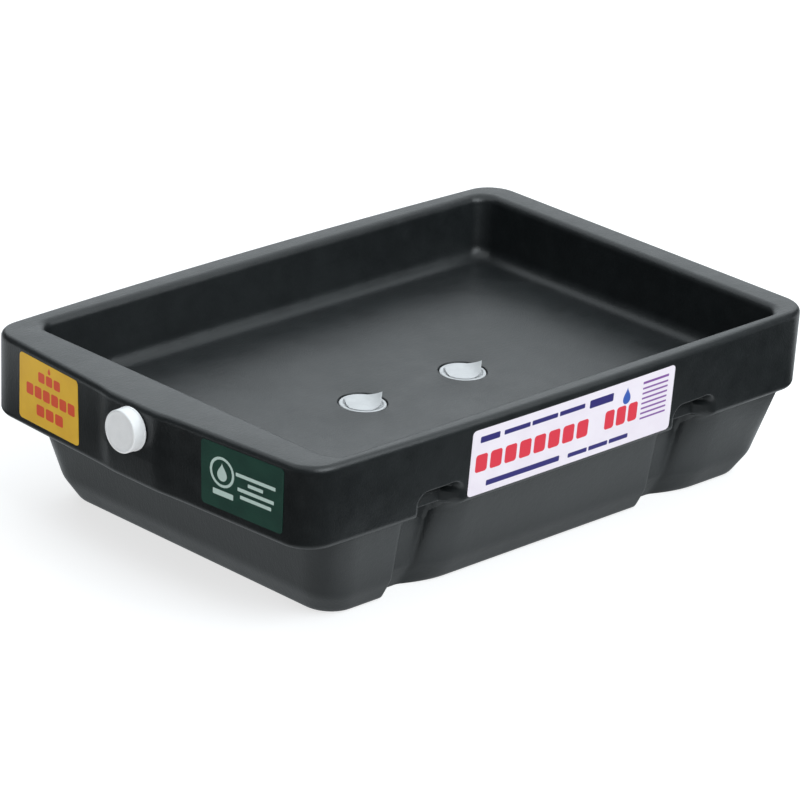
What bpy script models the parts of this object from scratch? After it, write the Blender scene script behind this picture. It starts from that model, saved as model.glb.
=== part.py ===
"""Double-duty oil drain pan: a shallow catch tray moulded on top of a closed oil tank.

The black body is one hollow blow moulding with a threaded spout in one end. A white screw cap
closes the spout, two white plugs with lift tabs close the drain and vent holes in the tray floor,
and three labels are stuck on the upright band. Dimensions below are in millimetres; the frame has
+X along the length, the spout at -X, +Z up and the flat underside at Z = 0.
"""

import math

import bmesh
import bpy
from mathutils import Matrix, Vector

MM = 0.001

# Upright band that runs round the tray
HALF_LENGTH = 242.0
HALF_WIDTH = 157.5
RIM_Z = 125.0
BAND_Z = 66.5
BAND_CORNER_R = 24.0
BAND_DRAFT = 1.0
EDGE_R = 4.6
SIDE_BOW_TOP = 4.5
SIDE_BOW_BOTTOM = 2.0
# Spout end, pushed out towards a flat pad in the middle
END_SLANT_Y = 136.0
PAD_SHOULDER_Y = 34.0
PAD_HALF = 23.0
PAD_OUT = 11.0
SLANT_OUT = 8.8
END_LEAN = 0.62
PAD_FULL_Z = 90.0
# Tank under the band: inset from the band at the spout end, the other end and the long sides
TANK_TOP = (27.2, 6.6, 6.6)
TANK_KNEE = (41.0, 19.4, 19.3)
TANK_FOOT = (51.3, 29.4, 28.9)
KNEE_Z = 17.0
FOOT_R = 4.0
# Tray
TRAY_X0 = -216.0
TRAY_X1 = 223.5
TRAY_Y0 = -153.0
TRAY_Y1 = 147.5
ROLL_R = 6.0
TRAY_DRAFT = 3.5
TRAY_CORNER_R = 16.0
FLOOR_Z = 79.0
FLOOR_FILLET = 11.0
WALL = 2.8
# Vertical grooves in the long sides
GROOVE_X = 122.0
GROOVE_TOP = 85.0
# Spout and screw cap
SPOUT_Y = -2.0
SPOUT_Z = 107.8
NECK_R = 10.6
NECK_BORE = 8.4
NECK_LEN = 7.2
THREAD_PITCH = 3.0
THREAD_RISE = 1.1
CAP_R = 15.1
CAP_BORE = 12.1
CAP_DEPTH = 10.6
# Plugs in the tray floor
PLUGS = {"rear": (43.3, -13.7), "front": (-51.6, -12.5)}
HOLE_R = 12.5
SEAT_R = 17.0
SEAT_DEPTH = 2.4
BOSS_R = 19.0
FLANGE_R = 16.3
STEM_R = 12.15
TAB_ANGLE = math.radians(-31.0)
TAB_PIVOT = -11.4
TAB_Z = FLOOR_Z - 0.3
TAB_NEAR = (8.0, -9.4)
TAB_FAR = (15.3, -2.9)
# Labels
LABEL_T = 0.35
LABEL_GAP = 0.3

ARC_STEPS = 6


def lerp(a, b, t):
    return a + (b - a) * t


def clear_scene():
    for obj in list(bpy.data.objects):
        bpy.data.objects.remove(obj, do_unlink=True)


def material(name, colour, roughness, metallic=0.0):
    mat = bpy.data.materials.new(name)
    mat.use_nodes = True
    bsdf = mat.node_tree.nodes["Principled BSDF"]
    bsdf.inputs["Base Color"].default_value = (*colour, 1.0)
    bsdf.inputs["Roughness"].default_value = roughness
    bsdf.inputs["Metallic"].default_value = metallic
    return mat


def add_object(name, bm, mat=None, sharp=35.0, origin=(0.0, 0.0, 0.0)):
    """Turn a bmesh in millimetres into an object in metres with its origin at the given point."""
    bmesh.ops.translate(bm, verts=bm.verts, vec=-Vector(origin))
    bmesh.ops.scale(bm, verts=bm.verts, vec=(MM, MM, MM))
    mesh = bpy.data.meshes.new(name)
    bm.to_mesh(mesh)
    bm.free()
    mesh.shade_smooth()
    mesh.set_sharp_from_angle(angle=math.radians(sharp))
    obj = bpy.data.objects.new(name, mesh)
    obj.location = Vector(origin) * MM
    bpy.context.scene.collection.objects.link(obj)
    if mat:
        mesh.materials.append(mat)
    return obj


def cutter_of(obj):
    obj.hide_render = True
    obj.display_type = "WIRE"
    return obj


def apply_boolean(obj, tool, operation):
    """Apply one exact Boolean to obj and drop the tool."""
    mod = obj.modifiers.new(operation.lower(), "BOOLEAN")
    mod.operation = operation
    mod.solver = "EXACT"
    mod.object = tool
    depsgraph = bpy.context.evaluated_depsgraph_get()
    mesh = bpy.data.meshes.new_from_object(obj.evaluated_get(depsgraph))
    obj.modifiers.clear()
    obj.data = mesh
    bpy.data.objects.remove(tool, do_unlink=True)


def weld(obj, distance=0.00002):
    """Merge doubled points left by the Booleans and drop slivers."""
    bm = bmesh.new()
    bm.from_mesh(obj.data)
    bmesh.ops.remove_doubles(bm, verts=bm.verts, dist=distance)
    bmesh.ops.dissolve_degenerate(bm, edges=bm.edges, dist=distance)
    bmesh.ops.recalc_face_normals(bm, faces=bm.faces)
    bm.to_mesh(obj.data)
    bm.free()


# ---------------------------------------------------------------- body surface


def side_bow(z):
    t = min(max((z - BAND_Z) / (RIM_Z - BAND_Z), 0.0), 1.0)
    return lerp(SIDE_BOW_BOTTOM, SIDE_BOW_TOP, t)


def band_draft(z):
    t = min(max((RIM_Z - z) / (RIM_Z - BAND_Z), 0.0), 1.0)
    return BAND_DRAFT * t


def end_push(y, z):
    """How far the spout end stands out of the plain rectangle at this place."""
    t = min(max((z - BAND_Z) / (RIM_Z - BAND_Z), 0.0), 1.0)
    lean = lerp(END_LEAN, 1.0, t)
    pad_t = min(max((z - BAND_Z) / (PAD_FULL_Z - BAND_Z), 0.0), 1.0)
    pad = PAD_OUT * lerp(END_LEAN, 1.0, pad_t)
    slant = SLANT_OUT * lean
    a = abs(y)
    if a >= END_SLANT_Y:
        return 0.0
    if a >= PAD_SHOULDER_Y:
        return slant * (END_SLANT_Y - a) / (END_SLANT_Y - PAD_SHOULDER_Y)
    if a >= PAD_HALF:
        return lerp(pad, slant, (a - PAD_HALF) / (PAD_SHOULDER_Y - PAD_HALF))
    return pad


END_ROWS = (-136.0, -102.0, -68.0, -34.0, -23.0, 0.0, 23.0, 34.0, 68.0, 102.0, 136.0)
SIDE_STEPS = 8


def ring(z, x0, x1, y0, y1, radius, bow=0.0, push=0.0):
    """One plan outline: a rounded rectangle with bowed long sides and a pushed-out spout end."""
    points = []
    corners = ((x1, y1, 0.0), (x0, y1, 90.0), (x0, y0, 180.0), (x1, y0, 270.0))
    for index, (cx, cy, start) in enumerate(corners):
        mx = cx - math.copysign(radius, cx)
        my = cy - math.copysign(radius, cy)
        for step in range(ARC_STEPS + 1):
            a = math.radians(start + 90.0 * step / ARC_STEPS)
            points.append([mx + radius * math.cos(a), my + radius * math.sin(a), z])
        if index in (0, 2):
            # long side, seen from the corner just made to the next one
            sign = 1.0 if index == 0 else -1.0
            xa = x1 - radius if index == 0 else x0 + radius
            xb = x0 + radius if index == 0 else x1 - radius
            half = abs(xa - xb) / 2.0
            mid = (xa + xb) / 2.0
            for step in range(1, SIDE_STEPS):
                x = lerp(xa, xb, step / SIDE_STEPS)
                rise = bow * (1.0 - ((x - mid) / half) ** 2)
                points.append([x, cy + sign * rise, z])
        elif index == 1:
            for row in reversed(END_ROWS[1:-1]):
                y = row * (y1 - radius) / END_SLANT_Y if abs(row) > PAD_SHOULDER_Y else row
                points.append([cx - push * end_push(row, z), y, z])
    return points


def loft(rings):
    """Closed body through the rings, with a flat face across the first and the last."""
    bm = bmesh.new()
    loops = [[bm.verts.new(p) for p in points] for points in rings]
    count = len(loops[0])
    for low, high in zip(loops, loops[1:]):
        for i in range(count):
            j = (i + 1) % count
            bm.faces.new((low[i], low[j], high[j], high[i]))
    bm.faces.new(list(reversed(loops[0])))
    bm.faces.new(loops[-1])
    bmesh.ops.triangulate(bm, faces=[f for f in bm.faces if len(f.verts) > 4])
    bmesh.ops.recalc_face_normals(bm, faces=bm.faces)
    return bm


def band_ring(z, inset, push=1.0, extra=0.0):
    """Ring of the band's outer face, moved in by inset."""
    d = inset + band_draft(z)
    return ring(
        z + extra,
        -HALF_LENGTH + d,
        HALF_LENGTH - d,
        -HALF_WIDTH + d,
        HALF_WIDTH - d,
        max(BAND_CORNER_R - inset, 4.0),
        side_bow(z),
        push,
    )


def tank_ring(z, insets, radius, inset=0.0, push=0.0):
    xm, xp, y = insets
    return ring(
        z,
        -HALF_LENGTH + xm + inset,
        HALF_LENGTH - xp - inset,
        -HALF_WIDTH + y + inset,
        HALF_WIDTH - y - inset,
        max(radius - inset, 4.0),
        0.0,
        push,
    )


def tray_ring(z, inset, radius):
    return ring(z, TRAY_X0 + inset, TRAY_X1 - inset, TRAY_Y0 + inset, TRAY_Y1 - inset, radius)


def knee_blend(t):
    """Insets of the tank wall between the knee (t = 0) and the underside of the band (t = 1)."""
    return tuple(lerp(a, b, t) for a, b in zip(TANK_KNEE, TANK_TOP))


def foot_blend(t):
    return tuple(lerp(a, b, t) for a, b in zip(TANK_FOOT, TANK_KNEE))


def outer_skin():
    rings = []
    # flat underside and its rounded edge
    foot = tuple(v + 3.0 for v in TANK_FOOT)
    rings.append(tank_ring(0.0, foot, 18.0))
    rings.append(tank_ring(0.5, tuple(v + 1.0 for v in TANK_FOOT), 20.0))
    rings.append(tank_ring(2.2, foot_blend(2.2 / KNEE_Z), 21.5))
    # chamfer, knee and wall
    rings.append(tank_ring(KNEE_Z - 3.0, foot_blend(1.0 - 3.0 / KNEE_Z), 23.0))
    rings.append(tank_ring(KNEE_Z + 4.0, knee_blend(4.0 / (BAND_Z - KNEE_Z)), 24.5))
    rings.append(tank_ring(BAND_Z - 1.5, knee_blend(1.0 - 1.5 / (BAND_Z - KNEE_Z)), 26.0))
    # underside of the band and its rounded lower edge
    ledge = tuple(v - 0.3 for v in TANK_TOP)
    rings.append(tank_ring(BAND_Z, ledge, 26.0))
    for k in range(4):
        a = math.radians(90.0 * k / 3.0)
        z = BAND_Z + EDGE_R * (1.0 - math.cos(a))
        rings.append(band_ring(z, EDGE_R * (1.0 - math.sin(a)) * 0.999))
    # band face
    rings.append(band_ring(88.0, 0.0))
    rings.append(band_ring(104.0, 0.0))
    for k in range(4):
        a = math.radians(90.0 * k / 3.0)
        z = RIM_Z - EDGE_R * (1.0 - math.sin(a))
        rings.append(band_ring(z, EDGE_R * (1.0 - math.cos(a))))
    # rim roll into the tray
    for k in range(4):
        a = math.radians(90.0 * k / 3.0)
        z = RIM_Z - ROLL_R * (1.0 - math.cos(a))
        rings.append(tray_ring(z, ROLL_R * math.sin(a), TRAY_CORNER_R - 3.0 * math.sin(a)))
    # tray wall, floor fillet and floor
    base = ROLL_R + TRAY_DRAFT
    for k in range(4):
        a = math.radians(90.0 * k / 3.0)
        z = FLOOR_Z + FLOOR_FILLET * (1.0 - math.sin(a))
        rings.append(tray_ring(z, base + FLOOR_FILLET * (1.0 - math.cos(a)), 12.0))
    return loft(rings)


def inner_skin():
    rings = []
    rings.append(tank_ring(WALL, TANK_FOOT, 20.0, inset=WALL + 2.0))
    rings.append(tank_ring(WALL + 2.0, foot_blend(4.0 / KNEE_Z), 22.0, inset=WALL))
    rings.append(tank_ring(KNEE_Z, TANK_KNEE, 24.0, inset=WALL))
    rings.append(tank_ring(BAND_Z, TANK_TOP, 26.0, inset=WALL))
    rings.append(tank_ring(BAND_Z + WALL, TANK_TOP, 26.0, inset=WALL))
    rings.append(band_ring(BAND_Z + WALL, 4.4))
    rings.append(band_ring(BAND_Z + 5.4, WALL))
    rings.append(band_ring(90.0, WALL))
    rings.append(band_ring(RIM_Z - 5.2, WALL))
    rings.append(band_ring(RIM_Z - WALL, 4.6))
    rings.append(tray_ring(RIM_Z - WALL, -0.5, TRAY_CORNER_R + 1.0))
    rings.append(tray_ring(RIM_Z - 6.0, ROLL_R - WALL, TRAY_CORNER_R))
    base = ROLL_R + TRAY_DRAFT - WALL
    rings.append(tray_ring(FLOOR_Z + FLOOR_FILLET, base, 14.0))
    rings.append(tray_ring(FLOOR_Z + 0.4, base + 4.2, 14.0))
    rings.append(tray_ring(FLOOR_Z - WALL, base + 11.6, 14.0))
    return loft(rings)


# ---------------------------------------------------------------- grooves


# Height, half width at the mouth, half width at the back, distance of the back from the mid-plane
GROOVE_LEVELS = (
    (-1.0, 19.5, 11.0, 117.4),
    (KNEE_Z, 20.5, 13.0, 127.0),
    (BAND_Z - 0.4, 26.0, 8.5, 135.0),
)
NOTCH_HALF = 21.0
NOTCH_BACK_HALF = 9.0
NOTCH_R = 8.0


def groove_bmesh(grow):
    """Groove in the near long side: a slanted-sided channel up the tank and a notch in the band.

    grow moves every face outwards, for the hollow that has to stay clear of the groove.
    """
    rings = []
    for z, mouth, back, depth in GROOVE_LEVELS:
        wall = HALF_WIDTH - TANK_TOP[2]
        if z <= KNEE_Z:
            wall = HALF_WIDTH - lerp(TANK_FOOT[2], TANK_KNEE[2], max(z, 0.0) / KNEE_Z)
        slope = (mouth - back) / (wall - depth)
        reach = 176.0
        rings.append(groove_ring(z, mouth + grow, back + grow * 0.6, wall, depth - grow, reach, slope))
    top = GROOVE_TOP + grow
    for k in range(4):
        a = math.radians(90.0 * k / 3.0)
        z = top - NOTCH_R + NOTCH_R * math.sin(a)
        shrink = NOTCH_R * (1.0 - math.cos(a))
        depth = lerp(138.5, 149.0, (z - BAND_Z) / (GROOVE_TOP - BAND_Z))
        mouth = NOTCH_HALF + grow - shrink
        back = NOTCH_BACK_HALF + grow * 0.6 - 0.4 * shrink
        rings.append(groove_ring(z, mouth, back, 156.0, depth - grow, 176.0, 0.0))
    lower = groove_ring(
        BAND_Z + 0.6, NOTCH_HALF + grow, NOTCH_BACK_HALF + grow * 0.6, 156.0, 138.5 - grow, 176.0, 0.0
    )
    rings.insert(3, lower)
    return loft(rings)


def groove_ring(z, mouth, back, wall, depth, reach, slope):
    """Plan section of the groove at one height, as a ring of ten points."""
    out = mouth + slope * 3.0
    mid_y = lerp(depth, wall, 0.12)
    mid_x = lerp(back, mouth, 0.3)
    profile = [
        (-out, reach),
        (-out, wall + 3.0),
        (-mouth, wall),
        (-mid_x - 1.0, mid_y + (wall - depth) * 0.14),
        (-back, depth),
        (back, depth),
        (mid_x + 1.0, mid_y + (wall - depth) * 0.14),
        (mouth, wall),
        (out, wall + 3.0),
        (out, reach),
    ]
    return [(x, -y, z) for x, y in profile]


def groove_cutters(grow):
    """The four grooves: two in each long side."""
    tools = []
    for side in (1.0, -1.0):
        for x in (-GROOVE_X, GROOVE_X):
            bm = groove_bmesh(grow)
            bmesh.ops.scale(bm, verts=bm.verts, vec=(1.0, side, 1.0))
            bmesh.ops.translate(bm, verts=bm.verts, vec=(x, 0.0, 0.0))
            bmesh.ops.recalc_face_normals(bm, faces=bm.faces)
            tools.append(cutter_of(add_object("groove_tool", bm)))
    return tools


# ---------------------------------------------------------------- turned pieces


def turned(profile, steps, axis="Z"):
    """Revolve a closed (radius, height) profile whose first and last points lie on the axis."""
    bm = bmesh.new()
    rows = []
    for r, h in profile:
        if r < 1e-6:
            rows.append([bm.verts.new((0.0, 0.0, h))])
            continue
        row = []
        for i in range(steps):
            a = 2.0 * math.pi * i / steps
            row.append(bm.verts.new((r * math.cos(a), r * math.sin(a), h)))
        rows.append(row)
    for low, high in zip(rows, rows[1:]):
        for i in range(steps):
            j = (i + 1) % steps
            if len(low) == 1:
                bm.faces.new((low[0], high[j], high[i]))
            elif len(high) == 1:
                bm.faces.new((low[i], low[j], high[0]))
            else:
                bm.faces.new((low[i], low[j], high[j], high[i]))
    bmesh.ops.recalc_face_normals(bm, faces=bm.faces)
    if axis == "-X":
        turn = Matrix.Rotation(math.radians(-90.0), 4, "Y")
        bmesh.ops.transform(bm, matrix=turn, verts=bm.verts)
    return bm


def helix_ridge(base_r, crest_r, start, turns, phase, steps_per_turn=20):
    """Thread ridge of trapezoid section round the Z axis, running out to nothing at both ends."""
    bm = bmesh.new()
    count = int(turns * steps_per_turn)
    rise = crest_r - base_r
    loops = []
    for i in range(count + 1):
        a = 2.0 * math.pi * i / steps_per_turn
        fade = min(1.0, min(i, count - i) / 3.0 + 0.12)
        h = start + THREAD_PITCH * i / steps_per_turn
        sink = base_r - math.copysign(0.45, rise)
        section = (
            (sink, h - 0.72),
            (base_r + rise * fade, h - 0.34),
            (base_r + rise * fade, h + 0.34),
            (sink, h + 0.72),
        )
        loops.append(
            [bm.verts.new((r * math.cos(a + phase), r * math.sin(a + phase), s)) for r, s in section]
        )
    for low, high in zip(loops, loops[1:]):
        for i in range(4):
            j = (i + 1) % 4
            bm.faces.new((low[i], low[j], high[j], high[i]))
    bm.faces.new(list(reversed(loops[0])))
    bm.faces.new(loops[-1])
    bmesh.ops.recalc_face_normals(bm, faces=bm.faces)
    return bm


def to_spout(bm, face_x):
    """Stand a shape turned round +Z on the spout axis, with its height measured along -X."""
    turn = Matrix.Rotation(math.radians(-90.0), 4, "Y")
    place = Matrix.Translation((face_x, SPOUT_Y, SPOUT_Z))
    bmesh.ops.transform(bm, matrix=place @ turn, verts=bm.verts)
    bmesh.ops.recalc_face_normals(bm, faces=bm.faces)
    return bm


PAD_X = -HALF_LENGTH - PAD_OUT


def make_body(mat):
    body = add_object("pan_body", outer_skin(), mat, 30.0)
    hollow = add_object("hollow", inner_skin())
    for tool in groove_cutters(0.0):
        apply_boolean(body, tool, "DIFFERENCE")
    for tool in groove_cutters(WALL):
        apply_boolean(hollow, tool, "DIFFERENCE")
    # the floor is thicker under each plug's seat
    for x, y in PLUGS.values():
        low = FLOOR_Z - SEAT_DEPTH - 2.0
        boss = turned(((0.0, low), (BOSS_R - 0.8, low), (BOSS_R, low + 0.8), (BOSS_R, FLOOR_Z), (0.0, FLOOR_Z)), 36)
        bmesh.ops.translate(boss, verts=boss.verts, vec=(x, y, 0.0))
        apply_boolean(hollow, add_object("boss", boss), "DIFFERENCE")
    weld(hollow)
    apply_boolean(body, hollow, "DIFFERENCE")
    # threaded neck, closed until its bore is cut
    neck = turned(
        ((0.0, -2.6), (NECK_R + 2.4, -2.6), (NECK_R + 2.4, 0.35), (NECK_R, 0.9),
         (NECK_R, NECK_LEN - 0.5), (NECK_R - 0.5, NECK_LEN), (0.0, NECK_LEN)),
        32,
    )
    neck_obj = add_object("neck", to_spout(neck, PAD_X + 0.9))
    ridge = helix_ridge(NECK_R, NECK_R + THREAD_RISE, 2.6, 1.4, 0.0)
    apply_boolean(neck_obj, add_object("ridge", to_spout(ridge, PAD_X + 0.9)), "UNION")
    apply_boolean(body, neck_obj, "UNION")
    bore = turned(((0.0, -14.0), (NECK_BORE, -14.0), (NECK_BORE, 14.0), (0.0, 14.0)), 32)
    apply_boolean(body, add_object("bore", to_spout(bore, PAD_X)), "DIFFERENCE")
    # plug seats and holes in the tray floor
    for x, y in PLUGS.values():
        seat = turned(
            ((0.0, FLOOR_Z - 12.0), (HOLE_R, FLOOR_Z - 12.0), (HOLE_R, FLOOR_Z - SEAT_DEPTH),
             (SEAT_R, FLOOR_Z - SEAT_DEPTH), (SEAT_R + 0.3, FLOOR_Z + 6.0), (0.0, FLOOR_Z + 6.0)),
            36,
        )
        bmesh.ops.translate(seat, verts=seat.verts, vec=(x, y, 0.0))
        apply_boolean(body, add_object("seat", seat), "DIFFERENCE")
    weld(body)
    body.data.materials.clear()
    body.data.materials.append(mat)
    body.data.shade_smooth()
    body.data.set_sharp_from_angle(angle=math.radians(30.0))
    return body


def make_cap(mat):
    """White screw cap: smooth skirt, slightly domed face with a rounded edge, thread inside."""
    low = 0.5
    top = CAP_DEPTH
    profile = [(0.0, top - 2.6), (CAP_BORE, top - 2.6), (CAP_BORE, low + 0.6), (CAP_BORE + 0.5, low),
               (CAP_R - 0.4, low), (CAP_R, low + 0.4), (CAP_R, top - 2.2)]
    for k in range(1, 4):
        a = math.radians(90.0 * k / 3.0)
        profile.append((CAP_R - 2.0 * (1.0 - math.cos(a)), top - 2.2 + 2.0 * math.sin(a)))
    profile.append((CAP_R - 7.0, top))
    profile.append((0.0, top + 0.1))
    cap = add_object("spout_cap", to_spout(turned(profile, 40), PAD_X), mat, 35.0)
    # the cap's ridge runs half a pitch away from the neck's ridge
    start = 2.3
    phase = 2.0 * math.pi * (start - 2.6 - 0.5 * THREAD_PITCH) / THREAD_PITCH
    ridge = helix_ridge(CAP_BORE, CAP_BORE - THREAD_RISE, start, 1.1, phase)
    apply_boolean(cap, add_object("cap_ridge", to_spout(ridge, PAD_X + 0.9)), "UNION")
    weld(cap)
    cap.data.materials.clear()
    cap.data.materials.append(mat)
    cap.data.shade_smooth()
    cap.data.set_sharp_from_angle(angle=math.radians(35.0))
    recentre(cap, (PAD_X, SPOUT_Y, SPOUT_Z))
    return cap


def recentre(obj, point):
    """Put an object's origin at a point given in millimetres without moving its surface."""
    target = Vector(point) * MM
    shift = target - obj.location
    obj.data.transform(Matrix.Translation(-shift))
    obj.location = target


def make_liner(mat):
    """Sealing disc between the neck's lip and the inside of the cap."""
    low = NECK_LEN - 0.9 + 0.3
    high = CAP_DEPTH - 2.6 - 0.3
    r = CAP_BORE - 0.6
    profile = ((0.0, low), (r - 0.3, low), (r, low + 0.3), (r, high - 0.3), (r - 0.3, high), (0.0, high))
    liner = add_object("cap_liner", to_spout(turned(profile, 32), PAD_X), mat, 35.0)
    recentre(liner, (PAD_X, SPOUT_Y, SPOUT_Z))
    return liner


def make_plug(name, x, y, mat):
    """Push-in plug: a shallow dish with a beaded rim on a hollow stem."""
    f = FLOOR_Z
    low = f - SEAT_DEPTH + 0.3
    profile = [
        (0.0, f - 1.2), (13.2, f - 1.2), (13.9, f - 1.0), (14.4, f - 0.6), (14.9, f - 0.45),
        (15.7, f - 0.45), (16.15, f - 0.65), (FLANGE_R, f - 1.0), (FLANGE_R, low + 0.3),
        (16.0, low), (STEM_R, low), (STEM_R, f - 7.7),
        (STEM_R - 0.6, f - 8.4), (10.3, f - 8.4), (10.3, f - 2.2), (0.0, f - 2.2),
    ]
    plug = add_object(name, turned(list(reversed(profile)), 36), mat, 35.0)
    plug.data.transform(Matrix.Translation((x * MM, y * MM, 0.0)))
    recentre(plug, (x, y, f))
    return plug


def tab_edge(theta):
    """Radius of the lift tab's outline round the plug's middle: a disc with a square lip at one side."""
    disc = 13.5
    d = (math.cos(theta), math.sin(theta))
    near, far = math.atan2(TAB_NEAR[1], TAB_NEAR[0]), math.atan2(TAB_FAR[1], TAB_FAR[0])
    touch = far + math.acos(disc / math.hypot(*TAB_FAR))

    def meet(p, q):
        ex, ey = q[0] - p[0], q[1] - p[1]
        return (p[0] * ey - p[1] * ex) / (d[0] * ey - d[1] * ex)

    r = disc
    if near <= theta <= far:
        r = meet(TAB_NEAR, TAB_FAR)
    elif far < theta <= touch:
        r = meet(TAB_FAR, (disc * math.cos(touch), disc * math.sin(touch)))
    elif near - 0.5 < theta < near:
        t = (theta - near + 0.5) / 0.5
        r = lerp(disc, math.hypot(*TAB_NEAR), t * t)
    c = math.cos(theta - TAB_ANGLE - math.pi)
    if c > 0.3:
        r = min(r, (-TAB_PIVOT - 0.1) / c)
    return r


def tab_rise(x, y):
    """Height of the tab's underside above its resting place: it flexes up towards the square lip."""
    s = x * math.cos(TAB_ANGLE) + y * math.sin(TAB_ANGLE)
    return 0.0317 * max(s - 2.0, 0.0) ** 2


def make_tab(name, x, y, mat):
    """Lift tab: a thin flap in the plug's dish, with its hinge roll at one edge and a raised lip."""
    bm = bmesh.new()
    count = 48
    angles = [-math.pi + 2.0 * math.pi * k / count for k in range(count)]
    for p in (TAB_NEAR, TAB_FAR):
        a = math.atan2(p[1], p[0])
        angles[min(range(count), key=lambda i: abs(angles[i] - a))] = a
    layers = []
    for lift in (-0.8, 0.0):
        rows = [[bm.verts.new((0.0, 0.0, FLOOR_Z + lift + tab_rise(0.0, 0.0)))]]
        for share in (0.4, 0.65, 0.85, 1.0):
            row = []
            for a in angles:
                r = tab_edge(a) * share
                px, py = r * math.cos(a), r * math.sin(a)
                row.append(bm.verts.new((px, py, FLOOR_Z + lift + tab_rise(px, py))))
            rows.append(row)
        layers.append(rows)
    for rows, flip in zip(layers, (True, False)):
        for i in range(count):
            j = (i + 1) % count
            face = (rows[0][0], rows[1][i], rows[1][j])
            bm.faces.new(face[::-1] if flip else face)
            for low, high in zip(rows[1:], rows[2:]):
                quad = (low[i], high[i], high[j], low[j])
                bm.faces.new(quad[::-1] if flip else quad)
    for i in range(count):
        j = (i + 1) % count
        bm.faces.new((layers[0][-1][i], layers[0][-1][j], layers[1][-1][j], layers[1][-1][i]))
    bmesh.ops.recalc_face_normals(bm, faces=bm.faces)
    tab = add_object(name, bm, mat, 40.0)
    roll = bmesh.new()
    bmesh.ops.create_cone(roll, cap_ends=True, segments=12, radius1=0.6, radius2=0.6, depth=10.0)
    turn = Matrix.Rotation(TAB_ANGLE, 4, "Z") @ Matrix.Translation((TAB_PIVOT, 0.0, TAB_Z)) @ Matrix.Rotation(math.radians(90.0), 4, "X")
    bmesh.ops.transform(roll, matrix=turn, verts=roll.verts)
    apply_boolean(tab, add_object("roll", roll), "UNION")
    weld(tab)
    tab.data.materials.clear()
    tab.data.materials.append(mat)
    tab.data.shade_smooth()
    tab.data.set_sharp_from_angle(angle=math.radians(40.0))
    # set the tab in its plug, with its origin on the hinge
    tab.data.transform(Matrix.Translation((x * MM, y * MM, 0.0)))
    recentre(tab, (x + TAB_PIVOT * math.cos(TAB_ANGLE), y + TAB_PIVOT * math.sin(TAB_ANGLE), TAB_Z))
    return tab


# ---------------------------------------------------------------- labels


def side_face(x, z):
    """Point of the near long face of the band."""
    d = band_draft(z)
    half = HALF_LENGTH - d - BAND_CORNER_R
    return Vector((x, -(HALF_WIDTH - d + side_bow(z) * (1.0 - (x / half) ** 2)), z))


def end_face(y, z):
    """Point of the spout end of the band."""
    d = band_draft(z)
    return Vector((-(HALF_LENGTH - d + end_push(y, z)), y, z))


def label(name, face, outward, u0, u1, z0, z1, corner, mat, nu, nz):
    """Thin sheet over a face, with rounded corners, as a closed grid."""
    bm = bmesh.new()
    under = []
    over = []
    for i in range(nu + 1):
        u = lerp(u0, u1, i / nu)
        edge = min(u - min(u0, u1), max(u0, u1) - u)
        cut = 0.0
        if edge < corner:
            cut = corner - math.sqrt(max(corner**2 - (corner - edge) ** 2, 0.0))
        row_under = []
        row_over = []
        for k in range(nz + 1):
            z = lerp(z0 + cut, z1 - cut, k / nz)
            p = face(u, z)
            row_under.append(bm.verts.new(p + outward * LABEL_GAP))
            row_over.append(bm.verts.new(p + outward * (LABEL_GAP + LABEL_T)))
        under.append(row_under)
        over.append(row_over)
    for i in range(nu):
        for k in range(nz):
            bm.faces.new((over[i][k], over[i + 1][k], over[i + 1][k + 1], over[i][k + 1]))
            bm.faces.new((under[i][k], under[i][k + 1], under[i + 1][k + 1], under[i + 1][k]))
        bm.faces.new((under[i][0], under[i + 1][0], over[i + 1][0], over[i][0]))
        bm.faces.new((under[i + 1][nz], under[i][nz], over[i][nz], over[i + 1][nz]))
    for k in range(nz):
        bm.faces.new((under[0][k + 1], under[0][k], over[0][k], over[0][k + 1]))
        bm.faces.new((under[nu][k], under[nu][k + 1], over[nu][k + 1], over[nu][k]))
    bmesh.ops.recalc_face_normals(bm, faces=bm.faces)
    return add_object(name, bm, mat, 40.0)


def main():
    clear_scene()
    black = material("black_hdpe", (0.022, 0.024, 0.026), 0.38)
    white = material("white_cap_plastic", (0.83, 0.84, 0.85), 0.42)
    plug_white = material("white_plug_plastic", (0.80, 0.82, 0.83), 0.5)
    tab_white = material("white_tab_plastic", (0.82, 0.83, 0.84), 0.5)
    foam = material("liner_foam", (0.72, 0.72, 0.70), 0.9)
    yellow = material("yellow_label", (0.70, 0.43, 0.03), 0.45)
    green = material("green_label", (0.015, 0.085, 0.048), 0.42)
    paper = material("white_label", (0.84, 0.74, 0.80), 0.45)
    make_body(black)
    make_cap(white)
    make_liner(foam)
    for place, (x, y) in PLUGS.items():
        make_plug("drain_plug_" + place, x, y, plug_white)
        make_tab("pull_tab_" + place, x, y, tab_white)
    out_side = Vector((0.0, -1.0, 0.0))
    out_end = Vector((-1.0, 0.0, 0.0))
    label("label_white", side_face, out_side, -97.5, 96.5, 70.6, 118.2, 3.2, paper, 26, 3)
    label("label_yellow", end_face, out_end, 121.5, 56.8, 73.0, 120.4, 3.0, yellow, 16, 4)
    label("label_green", end_face, out_end, -63.0, -134.5, 75.0, 120.4, 3.0, green, 16, 4)


main()
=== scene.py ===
import math

import bmesh
import bpy
import numpy as np
from mathutils import Matrix, Vector


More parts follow.
